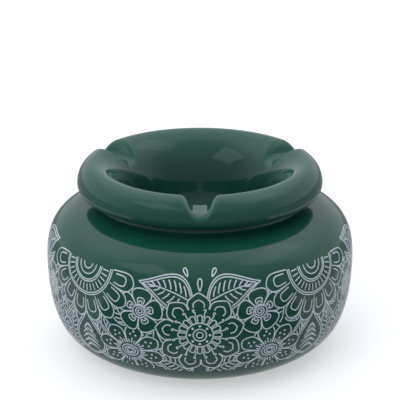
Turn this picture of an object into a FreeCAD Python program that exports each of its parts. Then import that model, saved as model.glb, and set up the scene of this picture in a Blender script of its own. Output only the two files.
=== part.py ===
import FreeCAD, Part
import math
import os

# Lidded ashtray: a squat glazed bowl with a short neck, and a funnel lid that
# sits loosely in the neck. Millimetres, +Z up, origin at the centre of the
# foot's underside, one of the lid's three rests towards -Y. Points of turned
# profiles are (radius, height).

# Bowl, outside: foot, belly, shoulder, neck
FOOT_R = 34.0
BELLY_R = 60.0
BELLY_Z = 37.0
LOWER_CURVE = [(43.0, 1.9), (49.4, 5.0), (54.2, 9.6), (57.2, 15.6), (59.3, 25.0)]
SHOULDER_CURVE = [(59.2, 45.0), (56.4, 51.2), (52.0, 55.0), (46.3, 57.4)]
NECK_ROOT = (42.2, 58.3)
NECK_ROOT_MID = (40.45, 59.3)
NECK_R = 39.9
LIP_Z = 62.3
LIP_ROUND = 1.3
SHOULDER_SLOPE = (-1, 0.35)
FOOT_SLOPE = (1, 0.06)

# Bowl, inside: throat, cavity, floor
WALL = 4.2
THROAT_TOP_R = 37.2
THROAT_R = 36.5
THROAT_Z = 52.6
CEILING_CURVE = [(44.0, 52.4), (50.6, 50.4), (54.6, 45.6)]
HOLLOW_CURVE = [(54.6, 22.0), (50.6, 12.6), (43.0, 7.4)]
FLOOR_R = 33.0
FLOOR_Z = 6.0

# Shallow recess inside the foot ring
RECESS_R = 26.0
RECESS_DEPTH = 1.5

# Lid: heights are measured from the flat underside of its rim
SEAT_GAP = 0.05
RIM_R = 47.6
RIM_WIDEST_Z = 4.2
CREST_R = 41.0
CREST_Z = 12.1
UNDERSIDE_R = 43.2
CUP_TOP_R = 32.0
CUP_FILLET = 1.5
CUP_BOTTOM_R = 26.3
CUP_DEPTH = 22.6
CUP_CORNER_R = 4.0
FUNNEL_CURVE = [(36.2, 10.4), (31.6, 6.2), (28.3, 0.6), (25.8, -6.0), (23.2, -12.8), (18.4, -17.0)]
CUP_FLOOR = 4.2
OUTLET_R = 11.0
OUTLET_ROUND = 1.2

# Three rests across the rim
REST_COUNT = 3
REST_FIRST_DEG = -90.0
REST_DEPTH = 5.8
REST_FLOOR_R = 3.3
REST_SHOULDER_R = 2.4
REST_START_R = 20.0
REST_END_R = 56.0
CLEAR_ABOVE = 6.0

LEVEL_IN = (-1, 0)
LEVEL_OUT = (1, 0)
UPRIGHT = (0, 1)
CENTRE = FreeCAD.Vector(0, 0, 0)
AXIS = FreeCAD.Vector(0, 0, 1)


def at(r, z):
    """A point of a turned profile, in the XZ plane."""
    return FreeCAD.Vector(r, 0, z)


def line(a, b):
    return Part.LineSegment(at(*a), at(*b)).toShape()


def arc(a, mid, b):
    return Part.Arc(at(*a), at(*mid), at(*b)).toShape()


def turn_arc(centre, radius, start_deg, end_deg):
    """Circular arc about centre from one angle to another."""
    points = []
    for deg in (start_deg, (start_deg + end_deg) / 2, end_deg):
        a = math.radians(deg)
        points.append((centre[0] + radius * math.cos(a), centre[1] + radius * math.sin(a)))
    return arc(*points)


def smooth(points, start, end):
    """Spline through points that leaves along start and arrives along end."""
    curve = Part.BSplineCurve()
    curve.interpolate(Points=[at(*p) for p in points], InitialTangent=at(*start), FinalTangent=at(*end))
    return curve.toShape()


def rim_curve(centre, half_width, half_height, start_deg, end_deg):
    """A quarter of the rim's oval section."""
    steps = 6
    points = []
    for i in range(steps + 1):
        a = math.radians(start_deg + (end_deg - start_deg) * i / steps)
        points.append(at(centre[0] + half_width * math.cos(a), centre[1] + half_height * math.sin(a)))
    curve = Part.BSplineCurve()
    curve.interpolate(points)
    return curve.toShape()


def joined(edges):
    return Part.Face(Part.Wire(Part.__sortEdges__(edges)))


def turned(edges):
    """Solid of revolution about the axis from a closed profile."""
    return joined(edges).revolve(CENTRE, AXIS, 360)


def bowl():
    """Squat round bowl with an in-turned shoulder and a short neck."""
    foot = (FOOT_R, 0)
    belly = (BELLY_R, BELLY_Z)
    lip_round_z = LIP_Z - LIP_ROUND
    outer_c = (NECK_R - LIP_ROUND, lip_round_z)
    inner_c = (THROAT_TOP_R + LIP_ROUND, lip_round_z)
    throat = (THROAT_R, THROAT_Z)
    cavity = [throat] + CEILING_CURVE + [(BELLY_R - WALL, BELLY_Z)] + HOLLOW_CURVE + [(FLOOR_R, FLOOR_Z)]
    recess_foot = (RECESS_R + RECESS_DEPTH, 0)
    return turned([
        smooth([foot] + LOWER_CURVE + [belly], FOOT_SLOPE, UPRIGHT),
        smooth([belly] + SHOULDER_CURVE + [NECK_ROOT], UPRIGHT, SHOULDER_SLOPE),
        arc(NECK_ROOT, NECK_ROOT_MID, (NECK_R, lip_round_z)),
        turn_arc(outer_c, LIP_ROUND, 0, 90),
        line((outer_c[0], LIP_Z), (inner_c[0], LIP_Z)),
        turn_arc(inner_c, LIP_ROUND, 90, 180),
        line((THROAT_TOP_R, lip_round_z), throat),
        smooth(cavity, LEVEL_OUT, LEVEL_IN),
        line((FLOOR_R, FLOOR_Z), (0, FLOOR_Z)),
        line((0, FLOOR_Z), (0, RECESS_DEPTH)),
        line((0, RECESS_DEPTH), (RECESS_R, RECESS_DEPTH)),
        line((RECESS_R, RECESS_DEPTH), recess_foot),
        line(recess_foot, foot),
    ])


def rest_cutter():
    """U-shaped channel along +X with shoulders that open out at the crest."""
    top = CREST_Z + CLEAR_ABOVE
    floor = CREST_Z - REST_DEPTH
    spring = floor + REST_FLOOR_R
    turn = CREST_Z - REST_SHOULDER_R
    half_top = REST_FLOOR_R + REST_SHOULDER_R
    lean = REST_SHOULDER_R * math.cos(math.radians(45))

    def p(y, z):
        return FreeCAD.Vector(REST_START_R, y, z)

    def wall(side):
        """One flank: a short upright, then the rounded shoulder, then clear of the rim."""
        bend = p(side * (half_top - lean), turn + lean)
        return [
            Part.LineSegment(p(side * REST_FLOOR_R, spring), p(side * REST_FLOOR_R, turn)).toShape(),
            Part.Arc(p(side * REST_FLOOR_R, turn), bend, p(side * half_top, CREST_Z)).toShape(),
            Part.LineSegment(p(side * half_top, CREST_Z), p(side * half_top, top)).toShape(),
        ]

    bottom = Part.Arc(p(-REST_FLOOR_R, spring), p(0, floor), p(REST_FLOOR_R, spring)).toShape()
    lid_side = Part.LineSegment(p(-half_top, top), p(half_top, top)).toShape()
    section = joined([bottom, lid_side] + wall(1) + wall(-1))
    return section.extrude(FreeCAD.Vector(REST_END_R - REST_START_R, 0, 0))


def funnel_lid():
    """Rolled rim with three rests, over a tapered cup with an open bottom."""
    taper = math.atan2(CUP_TOP_R - CUP_BOTTOM_R, CUP_DEPTH)
    corner_c = (CUP_BOTTOM_R - CUP_CORNER_R, CUP_CORNER_R - CUP_DEPTH)
    corner_end = (corner_c[0] + CUP_CORNER_R * math.cos(taper),
                  corner_c[1] - CUP_CORNER_R * math.sin(taper))
    floor_z = CUP_FLOOR - CUP_DEPTH
    outlet_c = (OUTLET_R + OUTLET_ROUND, floor_z - OUTLET_ROUND)
    fillet_c = (CUP_TOP_R + CUP_FILLET, -CUP_FILLET)
    funnel = [(CREST_R, CREST_Z)] + FUNNEL_CURVE + [(outlet_c[0], floor_z)]
    lid = turned([
        rim_curve((CREST_R, RIM_WIDEST_Z), RIM_R - CREST_R, CREST_Z - RIM_WIDEST_Z, 90, 0),
        rim_curve((UNDERSIDE_R, RIM_WIDEST_Z), RIM_R - UNDERSIDE_R, RIM_WIDEST_Z, 0, -90),
        line((UNDERSIDE_R, 0), (fillet_c[0], 0)),
        turn_arc(fillet_c, CUP_FILLET, 90, 180),
        line((CUP_TOP_R, fillet_c[1]), corner_end),
        turn_arc(corner_c, CUP_CORNER_R, -math.degrees(taper), -90),
        line((corner_c[0], -CUP_DEPTH), (OUTLET_R, -CUP_DEPTH)),
        line((OUTLET_R, -CUP_DEPTH), (OUTLET_R, outlet_c[1])),
        turn_arc(outlet_c, OUTLET_ROUND, 180, 90),
        smooth(funnel, LEVEL_IN, LEVEL_IN),
    ])
    for i in range(REST_COUNT):
        cutter = rest_cutter()
        cutter.rotate(CENTRE, AXIS, REST_FIRST_DEG + 360.0 / REST_COUNT * i)
        lid = lid.cut(cutter)
    lid.translate(FreeCAD.Vector(0, 0, LIP_Z + SEAT_GAP))
    return lid.Solids[0]


os.makedirs("parts", exist_ok=True)
for node, shape in (("bowl", bowl()), ("funnel_lid", funnel_lid())):
    shape.exportStep("parts/%s.step" % node)
    print(node, shape.isValid(), round(shape.Volume, 1))
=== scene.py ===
import math

import bpy
import numpy as np
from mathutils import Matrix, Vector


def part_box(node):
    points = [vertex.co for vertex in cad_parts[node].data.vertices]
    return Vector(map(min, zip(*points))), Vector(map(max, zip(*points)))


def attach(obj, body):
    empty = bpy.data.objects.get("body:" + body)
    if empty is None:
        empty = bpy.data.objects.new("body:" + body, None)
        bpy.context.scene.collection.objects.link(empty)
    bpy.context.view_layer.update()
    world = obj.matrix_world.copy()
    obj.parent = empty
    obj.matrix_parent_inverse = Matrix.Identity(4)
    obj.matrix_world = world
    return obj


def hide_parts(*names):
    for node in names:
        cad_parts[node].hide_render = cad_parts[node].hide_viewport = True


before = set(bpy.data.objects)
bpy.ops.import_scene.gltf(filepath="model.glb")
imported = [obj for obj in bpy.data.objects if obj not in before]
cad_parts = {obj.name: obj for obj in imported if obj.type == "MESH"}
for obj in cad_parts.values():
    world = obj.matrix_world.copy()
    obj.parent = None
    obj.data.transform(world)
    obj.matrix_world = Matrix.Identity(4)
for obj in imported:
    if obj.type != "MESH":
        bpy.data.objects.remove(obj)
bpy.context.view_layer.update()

# Glazed ashtray: a squat bowl with a printed band, and a funnel lid seated in its neck.
# Shapes are worked out in millimetres, with turned profiles as (radius, height).
MM = 0.001
TURN = 2 * math.pi

bowl_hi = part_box("bowl")[1]
lid_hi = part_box("funnel_lid")[1]

# Bowl
BELLY_R = bowl_hi[0] / MM
BELLY_Z = 37.0
FOOT_R = 34.0
LIP_Z = bowl_hi[2] / MM
LIP_ROUND = 1.3
NECK_ROOT = (42.2, 58.3)
NECK_R = 39.9
SHOULDER_SLOPE = (-1, 0.35)
THROAT_TOP_R = 37.2
THROAT_R = 36.6
THROAT_Z = 52.6
WALL = 4.2
FLOOR_R = 33.0
FLOOR_Z = 6.0
RECESS_R = 26.0
RECESS_DEPTH = 1.5
AXIS_R = 0.4                              # where the turned mesh stops and a fan closes it
BOWL_COLUMNS = 288
SHADE_FROM_Z, SHADE_FULL_Z = 58.0, 50.0   # deepening shade inside
FOOT_BARE_Z = 0.35                        # unglazed below this, on the foot's ring
FOOT_BARE_IN, FOOT_BARE_OUT = 0.2, 0.8
# paler green on the bowl's lip: partly thin glaze, partly painted light where the seated lid shades it
LIP_PALE_FROM, LIP_PALE_TO, LIP_THIN_AND_LIT = 2.7, 0.5, 0.9
ROOT_DARK, ROOT_DARK_WIDTH = 0.5, 1.6     # darker ring in the crease where the neck starts

# Lid, with heights from the flat underside of its rim
CREST_R = 41.0
CREST_Z = 12.1
RIM_R = lid_hi[0] / MM
RIM_WIDEST_Z = 4.2
UNDERSIDE_R = 43.2
CUP_TOP_R = 32.0
CUP_BOTTOM_R = 26.3
CUP_DEPTH = 22.6
CUP_CORNER_R = 4.0
CUP_ROOT_R = 1.5
CUP_EDGE_R = 0.6
CUP_FLOOR_Z = -18.4
OUTLET_R = 11.0
OUTLET_ROUND = 1.2
LID_SEAT = lid_hi[2] / MM - CREST_Z
LID_COLUMNS = 160                         # between one rest and the next
REST_DEGREES = (-90.0, 30.0, 150.0)
REST_FLOOR = CREST_Z - 5.8
REST_R = 3.9
REST_SLOPE = 2.0
REST_ROUND = 4.4
REST_REACH = 9.0
REST_CROWD = 0.62                         # how far the mesh's columns crowd towards a rest
CREST_THIN, CREST_THIN_WIDTH = 0.12, 3.0
SHOULDER_THIN, SHOULDER_DEPTH = 0.35, 3.0
# painted shade: the funnel's glaze darkens with depth as if in shade
FUNNEL_SHADE = 0.85
FUNNEL_SHADE_FROM, FUNNEL_SHADE_TO = 10.5, -2.0

# Printed band. The design plane is in mm too: x runs round the belly to the right,
# y up the surface from the foot's edge. The design repeats twice round the bowl.
DESIGN_R = 60.0
TILE = math.pi * DESIGN_R
BAND_LOW, BAND_HIGH = 24.5, 72.0
LINE = 0.50
LINE_STEP = 0.45
SLIVER = 1.2
INK_HIGH, INK_SUNK = 0.05, -0.02
INK_SECTION = ((-1.0, INK_SUNK), (-0.72, INK_HIGH), (0.72, INK_HIGH), (1.0, INK_SUNK))

# Colours
GREEN = (0.011, 0.098, 0.064)
GREEN_DEEP = (0.009, 0.084, 0.055)
# paler green where the glaze thins on edges, also used as painted light on the bowl's lip
GREEN_THIN_LIT = (0.024, 0.165, 0.105)
# darker green: painted shade down the lid's funnel, and the darker ring at the bowl's neck root
GREEN_SHADE_DARK = (0.005, 0.048, 0.030)
GREEN_SHADED = (0.040, 0.062, 0.060)
SPECK = (0.004, 0.014, 0.010)
BISCUIT = (0.42, 0.36, 0.29)
BISCUIT_DEEP = (0.34, 0.285, 0.22)
INK_TONES = ((0.68, 0.75, 0.87), (0.77, 0.84, 0.94), (0.84, 0.90, 0.98))

# Camera, in metres and degrees
CAMERA_AT = (0.00005, -0.600, 0.2773)
CAMERA_DOWN = 20.073
CAMERA_LENS = 147.19
SENSOR_WIDTH = 36.0
CLIP_START, CLIP_END = 0.01, 20

# Studio levels
TENT_TINT = (0.90, 0.94, 1.0)
BACKDROP = 1.02
BACKDROP_TINT = (1.0, 1.0, 1.0)
PANEL = 0.50
ROOF = 0.85
ROOF_FRONT = 0.26
GAP_LIGHT = 0.22
KEY_WATTS = 3.6
KEY_SIZE = 0.8
KEY_AT = (-0.35, -0.80, 0.75)
KEY_TILT, KEY_SWING = 48, -23.6
LEFT_BOX = ((-1.35, -0.45), (-1.15, -0.30), 0.55)     # slopes across, slopes along, level
RIGHT_BOX = ((0.40, 0.85), (-0.35, 0.55), 0.30)
BOX_BLUR = 0.05
FLOOR_TONE = (0.80, 0.80, 0.81)
FLOOR_GLOW = 0.46
FLOOR_NEAR = 0.50
FLOOR_SIDE = 0.62
FLOOR_GAP = 0.10
FLOOR_FAR_SIDE = 0.34
FLOOR_FAR = 0.26
GAP_COS, GAP_BLUR = 0.52, 0.03
FLOOR_NEAR_REACH = (0.070, 0.100)
FLOOR_FAR_REACH = (0.140, 0.175)
FLOOR_HALF = 3000.0


# ------------------------------------------------------------------ profiles
def spline(points, start, end, n):
    """Clamped cubic through points, by chord length; returns n points."""
    p = np.array(points, float)
    d = np.linalg.norm(np.diff(p, axis=0), axis=1)
    u = np.concatenate([[0], np.cumsum(d)])
    k = len(p)
    a = np.zeros((k, k))
    b = np.zeros((k, 2))
    a[0, 0] = a[-1, -1] = 1
    b[0] = np.array(start, float) / np.linalg.norm(start)
    b[-1] = np.array(end, float) / np.linalg.norm(end)
    for i in range(1, k - 1):
        a[i, i - 1], a[i, i], a[i, i + 1] = d[i], 2 * (d[i] + d[i - 1]), d[i - 1]
        b[i] = 3 * (d[i] * (p[i] - p[i - 1]) / d[i - 1] + d[i - 1] * (p[i + 1] - p[i]) / d[i])
    m = np.linalg.solve(a, b)
    us = np.linspace(0, u[-1], n)
    i = np.clip(np.searchsorted(u, us, side="right") - 1, 0, k - 2)
    h = d[i][:, None]
    s = ((us - u[i]) / d[i])[:, None]
    return ((2 * s**3 - 3 * s**2 + 1) * p[i] + (s**3 - 2 * s**2 + s) * h * m[i]
            + (3 * s**2 - 2 * s**3) * p[i + 1] + (s**3 - s**2) * h * m[i + 1])


def arc(centre, r, start_deg, end_deg, n, height=None):
    """Round or oval arc; height is the oval's half height."""
    a = np.radians(np.linspace(start_deg, end_deg, n))
    return np.stack([centre[0] + r * np.cos(a), centre[1] + (height or r) * np.sin(a)], 1)


def seg(a, b, n):
    t = np.linspace(0, 1, n)[:, None]
    return np.array(a, float) * (1 - t) + np.array(b, float) * t


def chain(*runs):
    """One outline from runs, with the points that neighbours share kept once."""
    out = [runs[0]]
    for run in runs[1:]:
        out.append(run[1:] if np.allclose(out[-1][-1], run[0], atol=1e-4) else run)
    return np.concatenate(out)


def bowl_skin():
    """Outside of the bowl, from the foot's edge up to the neck."""
    belly = (BELLY_R, BELLY_Z)
    lower = [(FOOT_R, 0), (43.0, 1.9), (49.4, 5.0), (54.2, 9.6), (57.2, 15.6), (59.3, 25.0), belly]
    upper = [belly, (59.2, 45.0), (56.4, 51.2), (52.0, 55.0), (46.3, 57.4), NECK_ROOT]
    return chain(spline(lower, (1, 0.06), (0, 1), 84), spline(upper, (0, 1), SHOULDER_SLOPE, 56))


def bowl_profile():
    """Whole section of the bowl, from the middle of its underside to the middle of its floor."""
    lip_z = LIP_Z - LIP_ROUND
    foot_in = (RECESS_R + 1.4, 0.0)
    under = chain(seg((AXIS_R, RECESS_DEPTH), (25.4, RECESS_DEPTH), 10),
                  arc((25.4, 0.9), 0.6, 90, 45, 4),
                  seg((25.9, 1.4), (27.2, 0.1), 4),
                  seg(foot_in, (FOOT_R - 0.4, 0.0), 5))
    neck = chain(spline([NECK_ROOT, (40.45, 59.3), (NECK_R, lip_z)], SHOULDER_SLOPE, (0, 1), 14),
                 arc((NECK_R - LIP_ROUND, lip_z), LIP_ROUND, 0, 90, 12),
                 arc((THROAT_TOP_R + LIP_ROUND, lip_z), LIP_ROUND, 90, 180, 12),
                 seg((THROAT_TOP_R, lip_z), (THROAT_R, THROAT_Z + 0.6), 14))
    cavity = [(37.1, THROAT_Z), (44.0, 52.4), (50.6, 50.4), (54.6, 45.6), (BELLY_R - WALL, BELLY_Z),
              (54.6, 22.0), (50.6, 12.6), (43.0, 7.4), (FLOOR_R, FLOOR_Z)]
    inside_run = chain(arc((37.1, THROAT_Z + 0.5), 0.5, 180, 270, 7),
                       spline(cavity, (1, 0), (-1, 0), 56),
                       seg((FLOOR_R, FLOOR_Z), (AXIS_R, FLOOR_Z), 12))
    skin = chain(bowl_skin(), neck, inside_run)
    return np.concatenate([under, skin[1:]])


def lid_profile():
    """Closed section of the lid, from the rim's crest round the outside and back up the funnel."""
    taper = math.atan2(CUP_TOP_R - CUP_BOTTOM_R, CUP_DEPTH)
    corner = (CUP_BOTTOM_R - CUP_CORNER_R, CUP_CORNER_R - CUP_DEPTH)
    corner_end = (corner[0] + CUP_CORNER_R * math.cos(taper), corner[1] - CUP_CORNER_R * math.sin(taper))
    funnel = [(OUTLET_R + OUTLET_ROUND, CUP_FLOOR_Z), (18.4, -17.0), (23.2, -12.8), (25.8, -6.0),
              (28.3, 0.6), (31.6, 6.2), (36.2, 10.4), (CREST_R, CREST_Z)]
    crest_height = CREST_Z - RIM_WIDEST_Z
    return chain(
        arc((CREST_R, RIM_WIDEST_Z), RIM_R - CREST_R, 90, 0, 34, crest_height),
        arc((UNDERSIDE_R, RIM_WIDEST_Z), RIM_R - UNDERSIDE_R, 0, -90, 18, RIM_WIDEST_Z),
        seg((UNDERSIDE_R, 0), (CUP_TOP_R + CUP_ROOT_R, 0), 8),
        arc((CUP_TOP_R + CUP_ROOT_R, -CUP_ROOT_R), CUP_ROOT_R, 90, 180, 8),
        seg((CUP_TOP_R, -CUP_ROOT_R), corner_end, 12),
        arc(corner, CUP_CORNER_R, -math.degrees(taper), -90, 14),
        seg((corner[0], -CUP_DEPTH), (OUTLET_R + CUP_EDGE_R, -CUP_DEPTH), 6),
        arc((OUTLET_R + CUP_EDGE_R, CUP_EDGE_R - CUP_DEPTH), CUP_EDGE_R, -90, -180, 5),
        seg((OUTLET_R, CUP_EDGE_R - CUP_DEPTH), (OUTLET_R, CUP_FLOOR_Z - OUTLET_ROUND), 5),
        arc((OUTLET_R + OUTLET_ROUND, CUP_FLOOR_Z - OUTLET_ROUND), OUTLET_ROUND, 180, 90, 6),
        spline(funnel, (1, 0), (1, 0), 84))[:-1]


# -------------------------------------------------------------------- meshes
def turned_points(profile, angles):
    x = profile[:, 0][:, None] * np.cos(angles)
    y = profile[:, 0][:, None] * np.sin(angles)
    z = np.repeat(profile[:, 1][:, None], len(angles), 1)
    return np.stack([x, y, z], -1).reshape(-1, 3)


def grid_faces(rows, columns, closed):
    """Quads over a grid that wraps round in columns, and in rows too if closed."""
    i = np.arange(rows if closed else rows - 1)
    j = np.arange(columns)
    ii, jj = np.meshgrid(i, j, indexing="ij")
    i2, j2 = (ii + 1) % rows, (jj + 1) % columns
    quads = [ii * columns + jj, ii * columns + j2, i2 * columns + j2, i2 * columns + jj]
    return np.stack(quads, -1).reshape(-1, 4)


def mesh_object(name, verts_mm, faces, smooth=True):
    mesh = bpy.data.meshes.new(name)
    mesh.from_pydata((np.asarray(verts_mm, float) * MM).tolist(), [], faces)
    mesh.validate()
    mesh.polygons.foreach_set("use_smooth", np.full(len(mesh.polygons), smooth))
    ob = bpy.data.objects.new(name, mesh)
    bpy.context.scene.collection.objects.link(ob)
    return ob


def attribute(ob, name, values):
    layer = ob.data.attributes.new(name, "FLOAT", "POINT")
    layer.data.foreach_set("value", np.asarray(values, np.float32))


def smoothstep(x, a, b):
    t = np.clip((np.asarray(x, float) - a) / (b - a), 0, 1)
    return t * t * (3 - 2 * t)


# ---------------------------------------------------------------- materials
def new_material(name):
    mat = bpy.data.materials.new(name)
    mat.use_nodes = True
    nt = mat.node_tree
    nt.nodes.clear()
    out = nt.nodes.new("ShaderNodeOutputMaterial")
    surface = nt.nodes.new("ShaderNodeBsdfPrincipled")
    nt.links.new(surface.outputs[0], out.inputs[0])
    return mat, nt, surface


def add(nt, kind, **values):
    """New node; in_NAME sets an input and any other name a property."""
    node = nt.nodes.new(kind)
    for key, value in values.items():
        if key.startswith("in_"):
            node.inputs[key[3:].replace("_", " ")].default_value = value
        else:
            setattr(node, key, value)
    return node


def noise(nt, where, scale, detail, roughness=0.5):
    node = add(nt, "ShaderNodeTexNoise", in_Scale=scale, in_Detail=detail, in_Roughness=roughness)
    nt.links.new(where, node.inputs["Vector"])
    return node.outputs[0]


def ramp(nt, source, *stops):
    """Colour ramp; each stop is a position with a colour or a grey level."""
    node = nt.nodes.new("ShaderNodeValToRGB")
    elements = node.color_ramp.elements
    while len(elements) < len(stops):
        elements.new(0.5)
    for element, (position, colour) in zip(elements, stops):
        element.position = position
        element.color = (*colour, 1) if isinstance(colour, tuple) else (colour, colour, colour, 1)
    nt.links.new(source, node.inputs[0])
    return node.outputs[0]


def feed(nt, sock, value):
    """Links a socket's source, or sets a plain value or colour on it."""
    if isinstance(value, bpy.types.NodeSocket):
        nt.links.new(value, sock)
    elif isinstance(value, tuple):
        sock.default_value = (*value, 1)
    else:
        sock.default_value = value


def mix(nt, fac, a, b):
    node = add(nt, "ShaderNodeMix", data_type="RGBA")
    for sock, value in zip((node.inputs[0], node.inputs[6], node.inputs[7]), (fac, a, b)):
        feed(nt, sock, value)
    return node.outputs[2]


def blend_value(nt, fac, a, b):
    node = add(nt, "ShaderNodeMix")
    for sock, value in zip((node.inputs[0], node.inputs[2], node.inputs[3]), (fac, a, b)):
        feed(nt, sock, value)
    return node.outputs[0]


def smooth_range(nt, source, lo, hi, to_lo, to_hi):
    node = add(nt, "ShaderNodeMapRange", interpolation_type="SMOOTHSTEP")
    nt.links.new(source, node.inputs[0])
    for i, value in enumerate((lo, hi, to_lo, to_hi)):
        node.inputs[i + 1].default_value = value
    return node.outputs[0]


def calc(nt, operation, *values):
    node = add(nt, "ShaderNodeMath", operation=operation)
    for sock, value in zip(node.inputs, values):
        feed(nt, sock, value)
    return node.outputs[0]


def bump(nt, height, strength, distance, under=None):
    node = add(nt, "ShaderNodeBump", in_Strength=strength, in_Distance=distance)
    nt.links.new(height, node.inputs["Height"])
    if under is not None:
        nt.links.new(under, node.inputs["Normal"])
    return node.outputs[0]


def painted(nt, name):
    return add(nt, "ShaderNodeAttribute", attribute_name=name).outputs["Fac"]


def glaze(name):
    """Deep green gloss glaze: soft tone drift and a few specks.

    The meshes say where it thins to a paler tone on edges, with painted light on the bowl's lip, where it
    takes painted shade down the lid's funnel, where a darker ring sits at the neck's root, where it lies in
    the deep shade inside, and where the clay is bare.
    """
    mat, nt, surface = new_material(name)
    where = add(nt, "ShaderNodeTexCoord").outputs["Object"]
    drift = ramp(nt, noise(nt, where, 38.0, 3.0, 0.55), (0.3, 0.0), (0.72, 1.0))
    colour = mix(nt, drift, GREEN_DEEP, GREEN)
    # paler where the glaze thins, with painted light on the bowl's lip
    colour = mix(nt, painted(nt, "thin"), colour, GREEN_THIN_LIT)
    # painted shade down the lid's funnel, and a darker ring at the bowl's neck root
    colour = mix(nt, painted(nt, "shade_and_dark_ring"), colour, GREEN_SHADE_DARK)
    cells = add(nt, "ShaderNodeTexVoronoi", in_Scale=420.0, in_Randomness=1.0)
    nt.links.new(where, cells.inputs["Vector"])
    specks = ramp(nt, cells.outputs["Distance"], (0.035, 1.0), (0.075, 0.0))
    patches = ramp(nt, noise(nt, where, 95.0, 1.0), (0.6, 0.0), (0.68, 0.6))
    colour = mix(nt, calc(nt, "MULTIPLY", specks, patches), colour, SPECK)
    clay = mix(nt, noise(nt, where, 900.0, 4.0), BISCUIT_DEEP, BISCUIT)
    bare = painted(nt, "bare")
    colour = mix(nt, bare, colour, clay)
    colour = mix(nt, painted(nt, "inside"), colour, GREEN_SHADED)
    nt.links.new(colour, surface.inputs["Base Color"])
    gloss = ramp(nt, noise(nt, where, 140.0, 2.0), (0.3, 0.045), (0.75, 0.10))
    nt.links.new(mix(nt, bare, gloss, (0.85, 0.85, 0.85)), surface.inputs["Roughness"])
    surface.inputs["IOR"].default_value = 1.55
    wave = bump(nt, noise(nt, where, 55.0, 1.5, 0.4), 0.07, 0.0008)
    peel = bump(nt, noise(nt, where, 700.0, 1.0), 0.02, 0.00012, wave)
    nt.links.new(peel, surface.inputs["Normal"])
    return mat


def print_ink(name):
    """Pale overglaze enamel: slightly uneven coverage and a softer shine than the glaze."""
    mat, nt, surface = new_material(name)
    where = add(nt, "ShaderNodeTexCoord").outputs["Object"]
    cover = noise(nt, where, 260.0, 3.0, 0.6)
    nt.links.new(ramp(nt, cover, *zip((0.25, 0.5, 0.75), INK_TONES)), surface.inputs["Base Color"])
    nt.links.new(ramp(nt, cover, (0.3, 0.30), (0.7, 0.42)), surface.inputs["Roughness"])
    surface.inputs["IOR"].default_value = 1.5
    return mat


# ---------------------------------------------------------------------- bowl
def make_bowl():
    profile = bowl_profile()
    rows = len(profile)
    columns = BOWL_COLUMNS
    ring_points = turned_points(profile, np.arange(columns) * TURN / columns)
    verts = np.concatenate([ring_points, [[0, 0, RECESS_DEPTH], [0, 0, FLOOR_Z]]])
    under, over = rows * columns, rows * columns + 1
    last = (rows - 1) * columns
    faces = grid_faces(rows, columns, closed=False).tolist()
    for j in range(columns):
        k = (j + 1) % columns
        faces.append((under, k, j))
        faces.append((over, last + j, last + k))
    ob = mesh_object("glazed_bowl", verts, faces)
    r, z = profile[:, 0], profile[:, 1]
    past_lip = np.arange(rows) > np.argmax(z)
    inside_deep = np.where(past_lip, smoothstep(-z, -SHADE_FROM_Z, -SHADE_FULL_Z), 0.0)
    in_foot = (r > RECESS_R + FOOT_BARE_IN) & (r < FOOT_R + FOOT_BARE_OUT)
    foot_ring = ((z < FOOT_BARE_Z) & in_foot).astype(float)
    # paler lip: thin glaze, with painted light laid on where the lid shades it
    lip = smoothstep(z, LIP_Z - LIP_PALE_FROM, LIP_Z - LIP_PALE_TO) * LIP_THIN_AND_LIT
    attribute(ob, "inside", np.concatenate([np.repeat(inside_deep, columns), [0, 1]]))
    attribute(ob, "bare", np.concatenate([np.repeat(foot_ring, columns), [0, 0]]))
    attribute(ob, "thin", np.concatenate([np.repeat(lip, columns), [0, 0]]))
    # darker ring in the crease where the neck starts
    from_root = np.hypot(r - NECK_ROOT[0] + 1.0, z - NECK_ROOT[1])
    root_dark = ROOT_DARK * np.exp(-(from_root / ROOT_DARK_WIDTH) ** 2)
    attribute(ob, "shade_and_dark_ring", np.concatenate([np.repeat(root_dark, columns), [0, 0]]))
    ob.data.materials.append(glaze("bowl_green_glaze"))
    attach(ob, "bowl")
    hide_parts("bowl")


# --------------------------------------------------------------- print: marks
# Each motif gives its strokes, its dots as (x, y, radius), and the outline behind
# which other motifs are hidden.
def polar(r, deg):
    a = np.radians(deg)
    return np.stack([r * np.cos(a), r * np.sin(a)], -1)


def rotated(p, deg):
    a = math.radians(deg)
    c, s = math.cos(a), math.sin(a)
    p = np.asarray(p, float)
    return np.stack([p[:, 0] * c - p[:, 1] * s, p[:, 0] * s + p[:, 1] * c], -1)


def ring(r, n=44, squash=1.0, start=0, end=360):
    return polar(np.full(n + 1, float(r)), np.linspace(start, end, n + 1)) * [1, squash]


def spiral(r, turns=1.75, start=0.0, hand=1, n=40):
    t = np.linspace(0, 1, n)
    return polar(r * (1 - 0.86 * t), start + hand * 360 * turns * t)


def spoke(r0, r1, deg):
    return polar(np.array([r0, r1]), deg)


def petal(r0, r1, half_deg, deg, tip=0.0, n=15):
    """One loop from radius r0 out to r1 and back; tip draws its end to a point."""
    t = np.linspace(-1, 1, n)
    u = np.abs(t)
    r = r0 + (r1 - r0) * (1 - u ** 2.6) ** 0.62 + tip * (1 - u) ** 3
    spread = np.sign(t) * half_deg * np.sin(u * math.pi / 2) ** 0.8
    return polar(r, deg + spread)


def drop(r0, r1, width, deg, n=18):
    """Teardrop with its point towards the centre."""
    t = np.linspace(0, TURN, n)
    x = (r0 + r1) / 2 - (r1 - r0) / 2 * np.cos(t)
    y = width / 2 * np.sin(t) * np.sin(t / 2) ** 1.1
    return rotated(np.stack([x, y], -1), deg)


def scallops(r, count, depth, start=0, end=360, tip=0.0):
    """A chain of petals whose outer edges meet: one continuous outline."""
    step = (end - start) / count
    t = np.linspace(-1, 1, 13)
    u = np.abs(t)
    edge = r + depth * (1 - u ** 2.2) + tip * (1 - u) ** 3
    return np.concatenate([polar(edge, start + step * (i + 0.5 + t / 2)) for i in range(count)])


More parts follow.
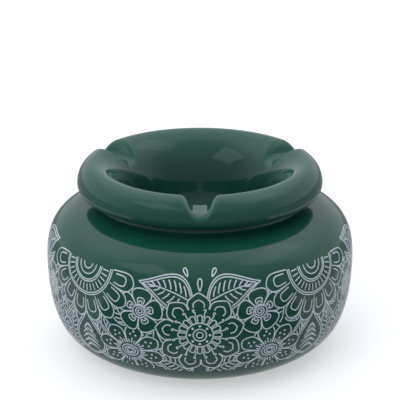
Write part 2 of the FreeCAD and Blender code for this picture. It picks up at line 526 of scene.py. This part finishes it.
def leaf_half(t, half):
    """Half width of a leaf at t of its length: round base, drawn-out tip."""
    return half * 1.12 * np.sin(math.pi * t ** 0.72) ** 0.95 * (1 - 0.55 * t ** 2)


def leaf_edge(length, width, bend, side, grow=0.0, n=26):
    """One edge of a leaf along +x, or a parallel one that lies grow further out."""
    t = np.linspace(0, 1, n)
    x = -grow * 0.7 * (1 - t) + (length + grow * 1.7) * t
    return np.stack([x, bend * np.sin(math.pi * t) + side * leaf_half(t, width / 2 + grow)], -1)


def leaf_outline(length, width, bend, grow):
    return np.concatenate([leaf_edge(length, width, bend, 1, grow),
                           leaf_edge(length, width, bend, -1, grow)[::-1]])


# -------------------------------------------------------------- print: motifs
def plain_leaf(length, width, bend, veins, double=False):
    """Pointed leaf with a midrib and curved side veins, single or double edged."""
    strokes = [leaf_edge(length, width, bend, side) for side in (1, -1)]
    if double:
        strokes += [leaf_edge(length, width, bend, side, 0.95) for side in (1, -1)]
    t = np.linspace(0.03, 0.9, 16)
    strokes.append(np.stack([length * t, bend * np.sin(math.pi * t)], -1))
    k = np.linspace(0.16, 0.80, 7)
    for i in range(veins):
        s = 0.10 + 0.64 * i / (veins - 1)
        half = leaf_half(s + 0.12, width / 2)
        root = np.array([length * s, bend * math.sin(math.pi * s)])
        for side in (1, -1):
            strokes.append(root + np.stack([length * 0.16 * k ** 1.7, side * half * k], -1))
    return strokes, [], leaf_outline(length, width, bend, 1.15)


def leaf(length, width, bend):
    return plain_leaf(length, width, bend, max(5, int(length / 2.4)), double=True)


def crescent_leaf(length, width):
    """Broad leaf with a stack of double crescents instead of veins."""
    grow = 0.9
    strokes = [leaf_edge(length, width, 0, side, edge) for edge in (0, grow) for side in (1, -1)]
    k = np.linspace(-1, 1, 9)
    for i in range(5):
        s = 0.2 + 0.12 * i
        half = leaf_half(s, width * 0.30)
        for lag, reach in ((0.0, 1.0), (length * 0.045, 0.75)):
            strokes.append(np.stack([length * s + lag - length * 0.104 * k ** 2, half * k * reach], -1))
    return strokes, [], leaf_outline(length, width, 0, grow)


def great_flower(r):
    """Large flower: dotted eye, looped ring, curled ring, broad pointed petals."""
    strokes = [ring(0.075 * r, 14), ring(0.15 * r, 20), ring(0.30 * r, 36)]
    dots = [(*polar(0.225 * r, 45 * i), 0.032 * r) for i in range(8)]
    for i in range(16):
        deg = 22.5 * i
        between = deg + 11.25
        hook = spiral(0.042 * r, 1.1, 200, 1 if i % 2 else -1, 12) + [0.615 * r, 0.014 * r]
        strokes.append(petal(0.32 * r, 0.49 * r, 8.0, deg, n=11))
        strokes.append(rotated(hook, between))
        strokes.append(spoke(0.44 * r, 0.575 * r, between))
    outline = []
    for i in range(9):
        deg = 40 * i + 12
        strokes.append(petal(0.66 * r, 0.88 * r, 19.5, deg, tip=0.13 * r, n=21))
        strokes.append(petal(0.68 * r, 0.80 * r, 10, deg, tip=0.05 * r, n=13))
        outline.append(petal(0.64 * r, 0.89 * r, 20, deg, tip=0.13 * r, n=13))
    return strokes, dots, np.concatenate(outline)


def spiral_flower(r, petals=5):
    """Small flower: spiral eye, and round petals with two smaller loops in each."""
    strokes = [spiral(0.26 * r, 2.2, 40, 1, 44), ring(0.30 * r, 26)]
    step = 360 / petals
    for i in range(petals):
        deg = 90 + step * i
        strokes.append(petal(0.33 * r, 1.0 * r, step * 0.49, deg, n=23))
        strokes.append(petal(0.36 * r, 0.60 * r, step * 0.26, deg, n=13))
        strokes.append(petal(0.36 * r, 0.47 * r, step * 0.13, deg, n=9))
    return strokes, [], scallops(0.80 * r, petals, 0.24 * r, 90 - step / 2, 450 - step / 2)


def dotted_flower(r, squash, petals=8):
    """Open flower with ribbed petal roots and three dots in each petal."""
    strokes = [ring(0.16 * r, 20, 0.7), ring(0.09 * r, 14, 0.7), ring(0.24 * r, 26, 0.75)]
    dots = []
    step = 360 / petals
    for i in range(petals):
        deg = step * i + 12
        strokes.append(petal(0.30 * r, 0.88 * r, step * 0.48, deg, tip=0.10 * r, n=21) * [1, squash])
        for k in (-0.26, 0, 0.26):
            strokes.append(spoke(0.31 * r, (0.52 - abs(k) * 0.3) * r, deg + step * k) * [1, squash])
        for out, off in ((0.64, -0.16), (0.64, 0.16), (0.76, 0.0)):
            dots.append((*(polar(out * r, deg + step * off) * [1, squash]), 0.032 * r))
    outline = scallops(0.76 * r, petals, 0.17 * r, 12 - step / 2, 372 - step / 2, tip=0.08 * r)
    return strokes, dots, outline * [1, squash]


def daisy(r, petals):
    """Flower with a teardrop in each petal, on a ribbed eye."""
    strokes = [ring(0.16 * r, 24), ring(0.28 * r, 30)]
    step = 360 / petals
    for i in range(petals * 2):
        strokes.append(spoke(0.30 * r, 0.38 * r, step * (i + 0.5) / 2))
    for i in range(petals):
        deg = step * (i + 0.5)
        strokes.append(drop(0.44 * r, 0.80 * r, 0.17 * r, deg))
        strokes.append(petal(0.40 * r, 0.98 * r, step * 0.47, deg, n=17))
    return strokes, [], scallops(0.84 * r, petals, 0.17 * r)


def half_rosette(r, start, end, petals):
    """Part of a plain rosette: arcs, a fan of short spokes, plain petals."""
    strokes = [ring(k * r, 60, 1, start, end) for k in (0.10, 0.19, 0.28, 0.315, 0.50, 0.535)]
    span = end - start
    fan = 2 * petals
    for i in range(fan):
        strokes.append(spoke(0.35 * r, 0.465 * r, start + span * (i + 0.5) / fan))
    step = span / petals
    for i in range(petals):
        deg = start + step * (i + 0.5)
        strokes.append(petal(0.56 * r, 0.93 * r, step * 0.50, deg, tip=0.05 * r, n=21))
        strokes.append(petal(0.62 * r, 0.83 * r, step * 0.30, deg, n=15))
    rim = scallops(0.80 * r, petals, 0.15 * r, start, end, tip=0.05 * r)
    return strokes, [], np.concatenate([[[0, 0]], rim])


def curls(r, count):
    """A short row of ringed spirals, turning alternately."""
    strokes = []
    x = 0.0
    for i in range(count):
        size = r * (0.75 + 0.35 * math.sin(math.pi * (i + 0.5) / count))
        centre = [x, 0.2 * r * math.sin(i * 2.1)]
        strokes.append(spiral(size, 2.1, 200, 1 if i % 2 else -1, 40) + centre)
        strokes.append(ring(size, 30) + centre)
        x += size * 1.95
    end = x - 0.6 * r
    return strokes, [], np.array([[-r, -r], [end, -r], [end, r], [-r, r]])


def bead(length, width):
    return [drop(0, length, width, 0)], [], None


# -------------------------------------------------------------- print: layout
# A mirrored frieze: the great flower's group faces front and back, the large daisy's
# group faces the sides, and half rosettes hang between them from the upper edge.
def pair(motif, x, y, deg, about=0.0):
    """A motif to the right of about, and its mirror image to the left."""
    strokes, dots, outline = motif
    flip = [-1, 1]
    image = ([stroke * flip for stroke in strokes], [(-dx, dy, r) for dx, dy, r in dots],
             None if outline is None else outline * flip)
    return [(motif, about + x, y, deg), (image, about - x, y, -deg)]


# Motif, x, y and degrees. Front motifs come first; later ones show in the gaps left.
SIDE = TILE / 2
LAYOUT = [
    (great_flower(16.5), 0.0, 42.0, 0),
    *pair(half_rosette(23.0, 180, 360, 8), SIDE / 2, 63.5, 0),
    (daisy(15.5, 12), SIDE, 41.0, 0),
    *pair(spiral_flower(8.8), 22.5, 50.0, 8),
    *pair(dotted_flower(14.0, 0.82), 27.5, 32.5, 0),
    *pair(crescent_leaf(18.5, 14.0), SIDE / 2, 25.5, 90),
    *pair(leaf(19.0, 11.0, 1.2), 3.4, 55.4, 17),
    *pair(leaf(19.0, 11.0, 1.0), 4.6, 55.0, 30, SIDE),
    *pair(spiral_flower(8.4, 6), 22.5, 47.0, 0, SIDE),
    *pair(daisy(9.6, 9), 26.0, 31.5, 0, SIDE),
    *pair(leaf(17.0, 9.0, 1.2), 3.5, 24.5, 24),
    *pair(leaf(18.0, 9.5, 1.2), 3.0, 25.0, 38, SIDE),
    *pair(leaf(20.0, 10.0, -1.4), 36.5, 25.0, 74),
    *pair(leaf(20.0, 10.0, 1.4), 36.0, 25.0, 78, SIDE),
    *pair(curls(3.0, 2), 14.0, 27.2, 12, SIDE),
    (bead(4.6, 2.2), 0.0, 59.2, 90),
    *pair(bead(3.6, 1.8), 4.6, 64.4, 66),
    (bead(5.0, 2.4), SIDE, 57.4, 90),
    *pair(leaf(16.0, 9.0, 1.0), 14.0, 44.0, 62, SIDE),
]
FILL_ROWS = ((26.5, 12.0), (34.0, 13.0), (43.0, 12.0), (50.0, 9.0))    # height, leaf length
FILL_PER_ROW = 17


def filler_leaves():
    """Rows of small leaves, leaning by turns, for what the motifs leave open."""
    placed = []
    for row, (y, length) in enumerate(FILL_ROWS):
        for i in range(FILL_PER_ROW):
            x = -TILE / 2 + (i + 0.5 * (row % 2)) * TILE / FILL_PER_ROW
            lean = 64 if (i + row) % 2 else 116
            placed.append((plain_leaf(length, 6.4, 0.9, 5), x, y, lean))
    return placed


def covers(outline, points):
    """Even-odd test: which of the points lie within a closed outline."""
    px, py = points[:, 0], points[:, 1]
    x0, y0 = outline[:, 0], outline[:, 1]
    x1, y1 = np.roll(x0, -1), np.roll(y0, -1)
    hit = np.zeros(len(points), bool)
    near = (px > x0.min()) & (px < x0.max()) & (py > y0.min()) & (py < y0.max())
    if near.any():
        qx, qy = px[near][:, None], py[near][:, None]
        spans = (y0 > qy) != (y1 > qy)
        rise = np.where(y1 == y0, 1e-9, y1 - y0)
        crossed = qx < (x1 - x0) * (qy - y0) / rise + x0
        hit[near] = ((spans & crossed).sum(1) % 2) == 1
    return hit


def resampled(line):
    d = np.linalg.norm(np.diff(line, axis=0), axis=1)
    u = np.concatenate([[0], np.cumsum(d)])
    n = max(int(round(u[-1] / LINE_STEP)), 2)
    t = np.linspace(0, u[-1], n + 1)
    return np.stack([np.interp(t, u, line[:, 0]), np.interp(t, u, line[:, 1])], -1)


def stretches(keep):
    """Start and end of each stretch of kept points."""
    edges = np.flatnonzero(np.diff(np.concatenate([[0], keep.astype(int), [0]])))
    return zip(edges[0::2], edges[1::2])


def drawn_tile():
    """Lines and dots of one repeat, with what lies behind other motifs left out."""
    outlines, lines, dots = [], [], []
    for (strokes, spots, outline), x, y, deg in LAYOUT + filler_leaves():
        for stroke in strokes:
            points = resampled(rotated(stroke, deg) + [x, y])
            keep = (points[:, 1] > BAND_LOW) & (points[:, 1] < BAND_HIGH)
            for front in outlines:
                keep &= ~covers(front, points)
            for a, b in stretches(keep):
                if b - a > 3 and points[a:b, 1].max() > BAND_LOW + SLIVER:
                    lines.append(points[a:b])
        for dx, dy, r in spots:
            centre = rotated([[dx, dy]], deg) + [x, y]
            hidden = any(covers(front, centre)[0] for front in outlines)
            if not hidden and BAND_LOW + r < centre[0, 1] < BAND_HIGH - r:
                dots.append((*centre[0], r))
        if outline is not None:
            placed = rotated(outline, deg) + [x, y]
            outlines += [placed + [k * TILE, 0] for k in (-1, 0, 1)]
    return lines, dots


# --------------------------------------------------------------- print: relief
SKIN = bowl_skin()
SKIN_RUN = np.concatenate([[0], np.cumsum(np.linalg.norm(np.diff(SKIN, axis=0), axis=1))])
SKIN_SLOPE = np.gradient(SKIN, SKIN_RUN, axis=0)


def on_skin(plane, lift):
    """Point of the design plane, lift mm proud of the bowl's outer surface."""
    s = np.clip(plane[:, 1], 0, SKIN_RUN[-1])
    r, z = (np.interp(s, SKIN_RUN, SKIN[:, k]) for k in (0, 1))
    slope_r, slope_z = (np.interp(s, SKIN_RUN, SKIN_SLOPE[:, k]) for k in (0, 1))
    size = np.hypot(slope_r, slope_z)
    r, z = r + lift * slope_z / size, z - lift * slope_r / size
    a = plane[:, 0] / DESIGN_R - math.pi / 2
    return np.stack([r * np.cos(a), r * np.sin(a), z], -1)


def ink_line(line):
    """Closed low strip along a line: wide base sunk in the glaze, narrower top."""
    way = np.gradient(line, axis=0)
    side = np.stack([-way[:, 1], way[:, 0]], -1) / (np.linalg.norm(way, axis=1)[:, None] + 1e-9)
    rows = [on_skin(line + side * k * LINE / 2, lift) for k, lift in INK_SECTION]
    verts = np.stack(rows, 1).reshape(-1, 3)
    n, m = len(line), len(INK_SECTION)
    faces = []
    for i in range(n - 1):
        for j in range(m):
            k = (j + 1) % m
            faces.append((i * m + j, (i + 1) * m + j, (i + 1) * m + k, i * m + k))
    faces.append(tuple(range(m)))
    faces.append(tuple((n - 1) * m + j for j in range(m - 1, -1, -1)))
    return verts, faces


def ink_dot(x, y, r):
    """Low round dot."""
    n = 9
    around = ring(1.0, n)[:-1]
    rows = [on_skin(around * r * k + [x, y], lift) for k, lift in ((1.0, INK_SUNK), (0.86, INK_HIGH))]
    faces = [(j, (j + 1) % n, n + (j + 1) % n, n + j) for j in range(n)]
    faces.append(tuple(range(n, 2 * n)))
    faces.append(tuple(range(n - 1, -1, -1)))
    return np.concatenate(rows), faces


def print_piece(name, lines, dots, shift, ink):
    """One repeat of the print as raised enamel, shift mm round the belly."""
    marks = [ink_line(line + [shift, 0]) for line in lines]
    marks += [ink_dot(x + shift, y, r) for x, y, r in dots]
    verts, faces, start = [], [], 0
    for mark_verts, mark_faces in marks:
        verts.append(mark_verts)
        faces += [tuple(start + i for i in face) for face in mark_faces]
        start += len(mark_verts)
    ob = mesh_object(name, np.concatenate(verts), faces, smooth=False)
    ob.data.materials.append(ink)
    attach(ob, "bowl")


def make_print():
    ink = print_ink("pale_enamel_print")
    lines, dots = drawn_tile()
    print_piece("floral_print_front", lines, dots, 0.0, ink)
    print_piece("floral_print_back", lines, dots, TILE, ink)


# ----------------------------------------------------------------------- lid
def rest_height(across):
    """Height of a rest's round-bottomed channel at a distance across it."""
    a = np.abs(across)
    round_part = np.minimum(a, REST_R * math.sin(math.atan(REST_SLOPE)))
    bottom = REST_R - np.sqrt(REST_R**2 - round_part**2)
    return REST_FLOOR + bottom + (a - round_part) * REST_SLOPE


def smooth_min(a, b, k):
    h = np.clip(0.5 + 0.5 * (b - a) / k, 0, 1)
    return b * (1 - h) + a * h - k * h * (1 - h)


def lid_angles():
    """Columns of the lid's mesh, crowded together near the three rests."""
    even = np.linspace(-60, 60, LID_COLUMNS + 1)[:-1]
    uneven = np.radians(even) - REST_CROWD / 3 * np.sin(np.radians(even * 3))
    return np.concatenate([uneven + math.radians(deg) for deg in REST_DEGREES])


def make_lid():
    profile = lid_profile()
    angles = lid_angles()
    rows, columns = len(profile), len(angles)
    verts = turned_points(profile, angles)
    x, y, z = verts[:, 0], verts[:, 1], verts[:, 2].copy()
    row = np.arange(rows)
    outer = row <= np.argmax(profile[:, 0])
    funnel_side = (row > np.argmin(profile[:, 0])) & (profile[:, 1] > REST_FLOOR - 8)
    upper = np.repeat(outer | funnel_side, columns)
    cut = np.zeros(len(verts))
    for a in np.radians(REST_DEGREES):
        along = x * math.cos(a) + y * math.sin(a)
        across = y * math.cos(a) - x * math.sin(a)
        near = upper & (along > 0) & (np.abs(across) < REST_REACH)
        lowered = smooth_min(z[near], rest_height(across[near]), REST_ROUND)
        cut[near] = np.maximum(cut[near], z[near] - lowered)
        z[near] = lowered
    verts[:, 2] = z + LID_SEAT
    faces = grid_faces(rows, columns, closed=True)[:, ::-1].tolist()
    ob = mesh_object("glazed_lid", verts, faces)
    from_crest = np.hypot(profile[:, 0] - CREST_R, profile[:, 1] - CREST_Z)
    crest = np.repeat(CREST_THIN * np.exp(-(from_crest / CREST_THIN_WIDTH) ** 2), columns)
    depth = np.clip(cut / SHOULDER_DEPTH, 0, 1)
    shoulders = SHOULDER_THIN * smoothstep(depth, 0.05, 0.3) * (1 - smoothstep(depth, 0.3, 0.9))
    attribute(ob, "thin", np.clip(crest + shoulders, 0, 1))
    # painted shade, deepening down the funnel
    sunk = smoothstep(-profile[:, 1], -FUNNEL_SHADE_FROM, -FUNNEL_SHADE_TO)
    shade_down_funnel = np.where(row > np.argmin(profile[:, 0]), sunk, 0.0)
    attribute(ob, "shade_and_dark_ring", np.repeat(FUNNEL_SHADE * shade_down_funnel, columns))
    attribute(ob, "bare", np.zeros(len(verts)))
    attribute(ob, "inside", np.zeros(len(verts)))
    ob.data.materials.append(glaze("lid_green_glaze"))
    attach(ob, "lid")
    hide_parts("funnel_lid")


# -------------------------------------------------------------------- camera
def make_camera():
    data = bpy.data.cameras.new("camera")
    ob = bpy.data.objects.new("camera", data)
    bpy.context.scene.collection.objects.link(ob)
    ob.location = CAMERA_AT
    ob.rotation_euler = (math.radians(90 - CAMERA_DOWN), 0, 0)
    data.sensor_width = SENSOR_WIDTH
    data.lens = CAMERA_LENS
    data.clip_start = CLIP_START
    data.clip_end = CLIP_END
    bpy.context.scene.camera = ob


# --------------------------------------------------------------------- stage
def planar_length(nt, x, y):
    squares = [calc(nt, "MULTIPLY", c, c) for c in (x, y)]
    return calc(nt, "SQRT", calc(nt, "ADD", *squares))


def towards_front(nt, y, length):
    """Cosine of the bearing from -Y, about the object's axis."""
    return calc(nt, "DIVIDE", calc(nt, "MULTIPLY", y, -1.0), calc(nt, "MAXIMUM", length, 0.001))


def camera_ray(nt):
    return add(nt, "ShaderNodeLightPath").outputs["Is Camera Ray"]


def make_floor():
    """Plain pale floor, calmer in reflections and in the light that it throws back.

    A dark gap in front, close by, is where the camera and its stand would be; right
    under the object and further out the floor is even.
    """
    corners = [(x * FLOOR_HALF, y * FLOOR_HALF, 0) for x, y in ((-1, -1), (1, -1), (1, 1), (-1, 1))]
    floor = mesh_object("studio_floor", corners, [(0, 1, 2, 3)], smooth=False)
    mat, nt, surface = new_material("pale_floor")
    surface.inputs["Base Color"].default_value = (*FLOOR_TONE, 1)
    surface.inputs["Roughness"].default_value = 0.9
    surface.inputs["Specular IOR Level"].default_value = 0.0
    surface.inputs["Emission Color"].default_value = (1, 1, 1, 1)
    surface.inputs["Emission Strength"].default_value = FLOOR_GLOW
    place = add(nt, "ShaderNodeSeparateXYZ")
    nt.links.new(add(nt, "ShaderNodeTexCoord").outputs["Object"], place.inputs[0])
    reach = planar_length(nt, place.outputs[0], place.outputs[1])
    bearing = towards_front(nt, place.outputs[1], reach)
    crisp = smooth_range(nt, bearing, GAP_COS - GAP_BLUR, GAP_COS + GAP_BLUR, FLOOR_SIDE, FLOOR_GAP)
    soft = smooth_range(nt, bearing, -0.1, 0.95, FLOOR_FAR_SIDE, FLOOR_FAR)
    level = blend_value(nt, smooth_range(nt, reach, *FLOOR_FAR_REACH, 0.0, 1.0), crisp, soft)
    level = blend_value(nt, smooth_range(nt, reach, *FLOOR_NEAR_REACH, 1.0, 0.0), level, FLOOR_NEAR)
    bounce = add(nt, "ShaderNodeEmission", in_Color=(*TENT_TINT, 1))
    nt.links.new(level, bounce.inputs[1])
    choose = add(nt, "ShaderNodeMixShader")
    nt.links.new(camera_ray(nt), choose.inputs[0])
    nt.links.new(bounce.outputs[0], choose.inputs[1])
    nt.links.new(surface.outputs[0], choose.inputs[2])
    nt.links.new(choose.outputs[0], nt.nodes["Material Output"].inputs[0])
    floor.data.materials.append(mat)


def softbox(nt, slope_x, slope_y, x_range, y_range, level):
    """Overhead softbox, placed by the slope of the way to its edges."""
    lit = level
    for slope, (start, end) in ((slope_x, x_range), (slope_y, y_range)):
        lit = calc(nt, "MULTIPLY", smooth_range(nt, slope, start - BOX_BLUR, start + BOX_BLUR, 0.0, 1.0), lit)
        lit = calc(nt, "MULTIPLY", smooth_range(nt, slope, end + BOX_BLUR, end - BOX_BLUR, 0.0, 1.0), lit)
    return lit


def make_tent():
    """Light tent: pale sides, a diffuser overhead, two softboxes, and a dim side to the camera."""
    world = bpy.data.worlds.new("studio")
    bpy.context.scene.world = world
    world.use_nodes = True
    nt = world.node_tree
    background = nt.nodes["Background"]
    way = add(nt, "ShaderNodeSeparateXYZ")
    nt.links.new(add(nt, "ShaderNodeTexCoord").outputs["Generated"], way.inputs[0])
    dx, dy, dz = way.outputs
    front = towards_front(nt, dy, planar_length(nt, dx, dy))
    panel = calc(nt, "MULTIPLY", smooth_range(nt, front, -0.25, 0.95, 1.0, 0.0),
                 smooth_range(nt, dz, 0.50, 0.80, PANEL, 0.25 * PANEL))
    overhead = smooth_range(nt, dy, -0.45, 0.25, ROOF_FRONT, ROOF)
    roof = calc(nt, "MULTIPLY", smooth_range(nt, dz, 0.05, 0.85, 0.05, 1.0), overhead)
    above = calc(nt, "MAXIMUM", dz, 0.05)
    slopes = calc(nt, "DIVIDE", dx, above), calc(nt, "DIVIDE", dy, above)
    boxes = calc(nt, "ADD", softbox(nt, *slopes, *LEFT_BOX),
                 softbox(nt, *slopes, *RIGHT_BOX))
    boxes = calc(nt, "MULTIPLY", boxes, smooth_range(nt, dz, 0.1, 0.2, 0.0, 1.0))
    light = calc(nt, "ADD", calc(nt, "MAXIMUM", panel, roof), GAP_LIGHT)
    light = calc(nt, "ADD", light, boxes)
    seen = camera_ray(nt)
    nt.links.new(mix(nt, seen, TENT_TINT, BACKDROP_TINT), background.inputs[0])
    nt.links.new(blend_value(nt, seen, light, BACKDROP), background.inputs[1])


def make_key():
    """Large soft light over the camera's left shoulder, kept out of the glaze's reflections."""
    data = bpy.data.lights.new("soft_key", "AREA")
    data.energy = KEY_WATTS
    data.size = KEY_SIZE
    ob = bpy.data.objects.new("soft_key", data)
    ob.location = KEY_AT
    ob.rotation_euler = (math.radians(KEY_TILT), 0, math.radians(KEY_SWING))
    ob.visible_glossy = False
    bpy.context.scene.collection.objects.link(ob)


make_bowl()
make_print()
make_lid()
make_camera()
make_floor()
make_tent()
make_key()
bpy.context.scene.view_settings.view_transform = "Standard"
